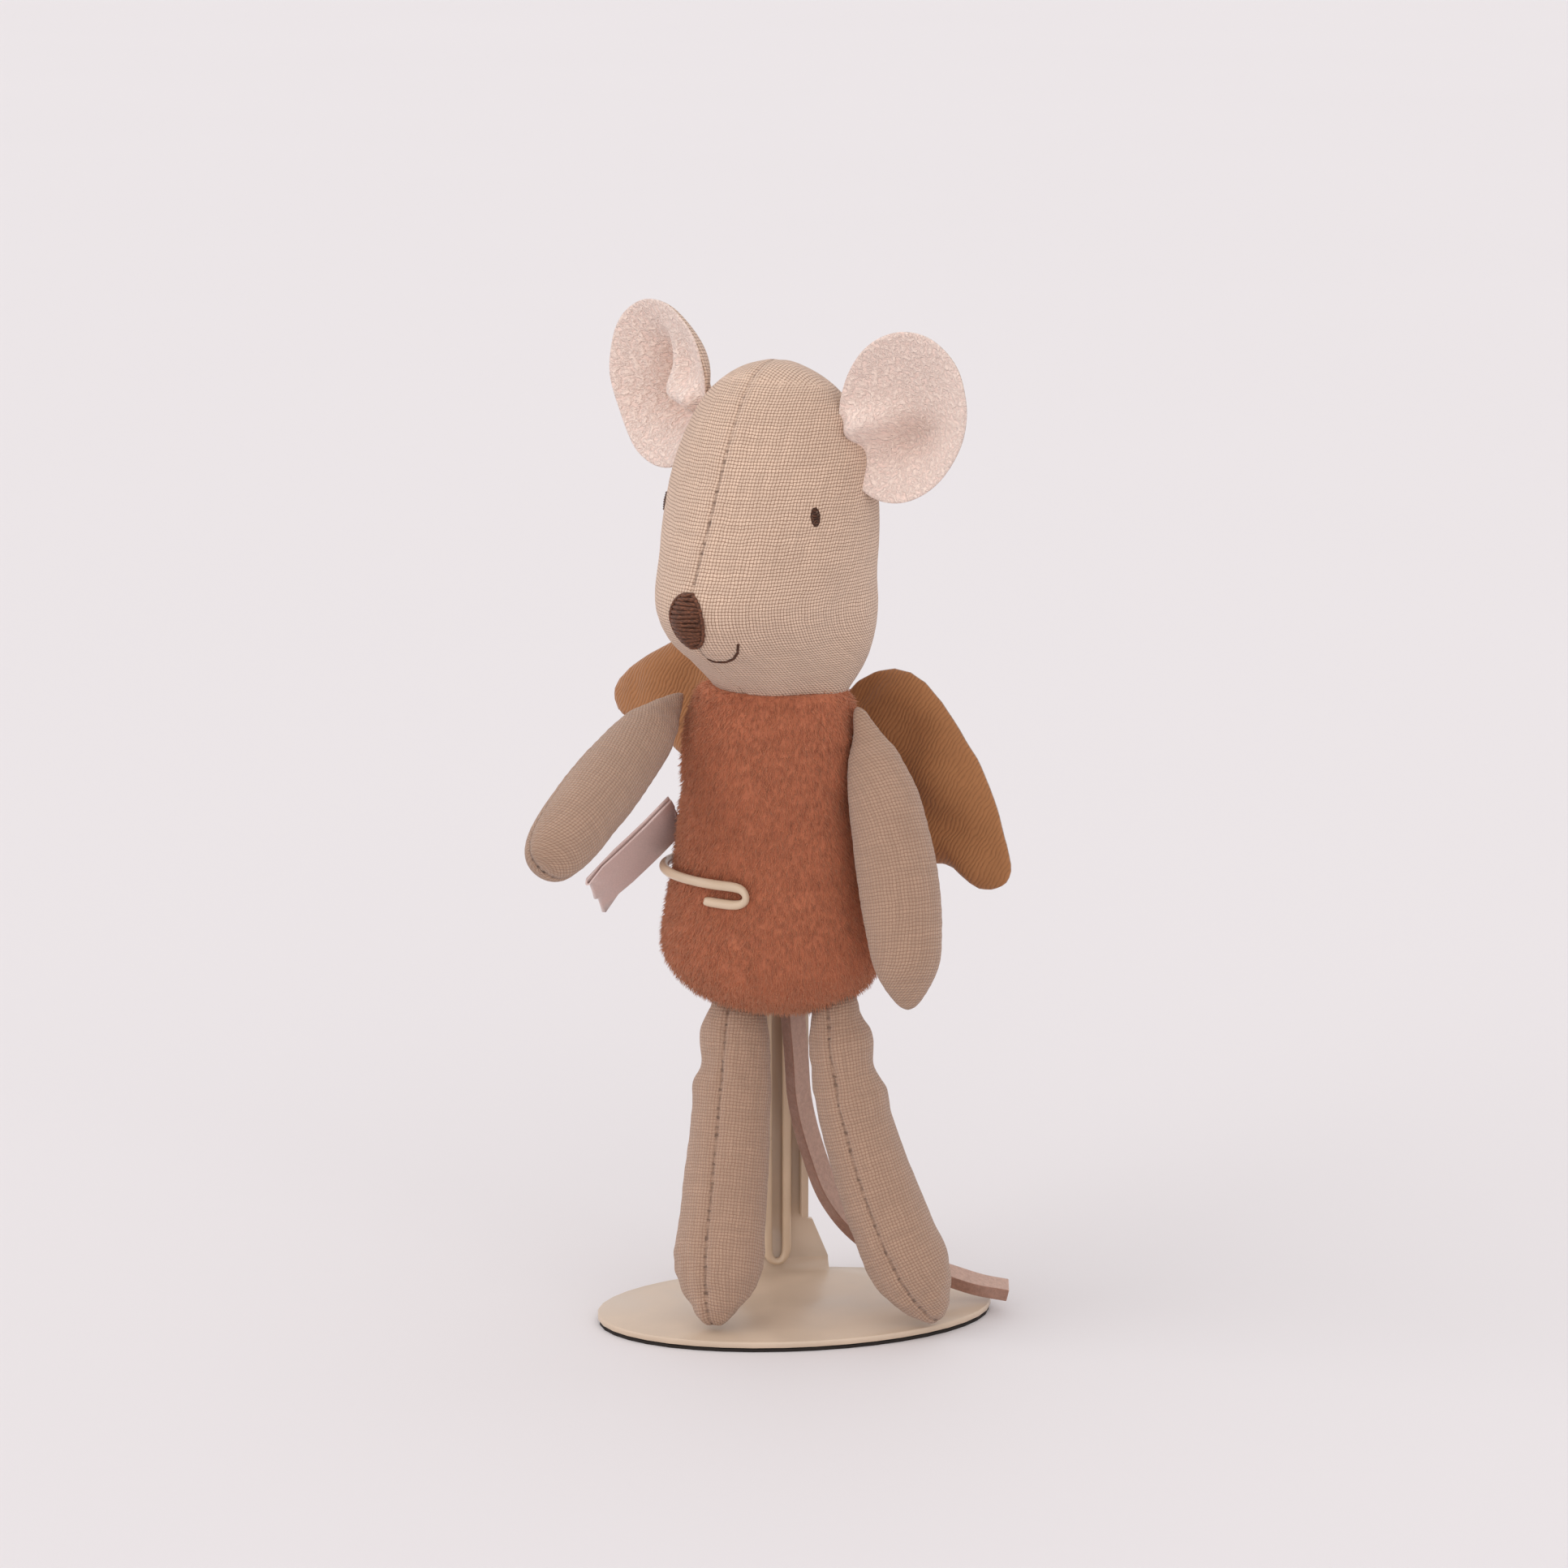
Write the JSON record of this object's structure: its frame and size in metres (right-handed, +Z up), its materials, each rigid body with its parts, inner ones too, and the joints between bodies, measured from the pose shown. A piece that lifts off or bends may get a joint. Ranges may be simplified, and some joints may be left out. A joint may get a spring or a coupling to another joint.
{
  "type": "mouse doll on a stand",
  "caption": "Stuffed linen mouse doll with a plush body and cloth wings, held at the waist by a sliding wire clip on a bent sheet-metal stand.",
  "frame": {"origin": "centre of the base's underside, on the surface that the stand rests on", "axes": "+Z up, -Y the way the mouse's body faces, +X the mouse's left; the stand is turned 32 degrees about Z from the mouse"},
  "size_m": [0.0513, 0.0478, 0.1117],
  "materials": {
    "pad": "matt thin backing",
    "stand_paint": "satin beige paint",
    "wire_paint": "satin beige coating",
    "linen": "plain-weave natural linen",
    "plush": "short brushed pile",
    "stuffing": "loose fibre",
    "thread": "satin stitch",
    "ear_pink": "brushed crepe",
    "wing_twill": "fine twill",
    "wing_backing": "printed cotton with small marks",
    "suede": "suede",
    "ribbon": "satin ribbon, blank"
  },
  "bodies": {
    "stand": {"base_pad": "pad", "stand_plate": "stand_paint"},
    "doll": {"wire_clip": "wire_paint", "body_front_panel": "plush", "body_back_panel": "plush", "body_stuffing": "stuffing", "tail": "suede", "care_label": "ribbon"},
    "head": {"head_panel_right": "linen", "head_panel_left": "linen", "head_stuffing": "stuffing", "nose_embroidery": "thread", "mouth_stitch": "thread", "eye_right": "thread", "eye_left": "thread"},
    "ear_right": {"ear_right_front": "ear_pink", "ear_right_back": "linen"},
    "arm_right": {"arm_right_cover": "linen", "arm_right_stuffing": "stuffing"},
    "leg_right": {"leg_right_cover": "linen", "leg_right_stuffing": "stuffing"},
    "wing_right": {"wing_right_front": "wing_twill", "wing_right_back": "wing_backing"},
    "ear_left": {"ear_left_front": "ear_pink", "ear_left_back": "linen"},
    "arm_left": {"arm_left_cover": "linen", "arm_left_stuffing": "stuffing"},
    "leg_left": {"leg_left_cover": "linen", "leg_left_stuffing": "stuffing"},
    "wing_left": {"wing_left_front": "wing_twill", "wing_left_back": "wing_backing"}
  },
  "joints": [
    {"name": "clip_height", "type": "slide", "parent": "stand", "child": "doll", "axis": [0, 0, 1], "range_m": [0, 0.012]},
    {"name": "head_turn", "type": "hinge", "parent": "doll", "child": "head", "pos_m": [-0.0025, 0, 0.07095], "axis": [0, 0, 1], "range_deg": [-25, 25]},
    {"name": "ear_right_fold", "type": "hinge", "parent": "head", "child": "ear_right", "pos_m": [-0.01353, 0.00194, 0.099], "axis": [0, 0, -1], "range_deg": [-3, 15], "stiffness_Nm_per_rad": 0.0003},
    {"name": "ear_left_fold", "type": "hinge", "parent": "head", "child": "ear_left", "pos_m": [0.00853, -0.00194, 0.099], "axis": [0, 0, 1], "range_deg": [-12, 15], "stiffness_Nm_per_rad": 0.0003},
    {"name": "arm_right_swing", "type": "hinge", "parent": "doll", "child": "arm_right", "pos_m": [-0.0125, -0.0016, 0.0692], "axis": [-1, 0, 0], "range_deg": [-12, 35]},
    {"name": "arm_left_swing", "type": "hinge", "parent": "doll", "child": "arm_left", "pos_m": [0.0075, -0.001, 0.0692], "axis": [-1, 0, 0], "range_deg": [0, 65]},
    {"name": "leg_right_swing", "type": "hinge", "parent": "doll", "child": "leg_right", "pos_m": [-0.0064, -0.0005, 0.031], "axis": [-1, 0, 0], "range_deg": [0, 75]},
    {"name": "leg_left_swing", "type": "hinge", "parent": "doll", "child": "leg_left", "pos_m": [0.0046, -0.0005, 0.031], "axis": [-1, 0, 0], "range_deg": [0, 75]},
    {"name": "wing_right_flap", "type": "hinge", "parent": "doll", "child": "wing_right", "pos_m": [-0.0045, 0.01055, 0.0628], "axis": [0, 0, -1], "range_deg": [-8, 25], "stiffness_Nm_per_rad": 0.0003},
    {"name": "wing_left_flap", "type": "hinge", "parent": "doll", "child": "wing_left", "pos_m": [-0.0005, 0.01055, 0.0628], "axis": [0, 0, 1], "range_deg": [0, 30], "stiffness_Nm_per_rad": 0.0003}
  ]
}
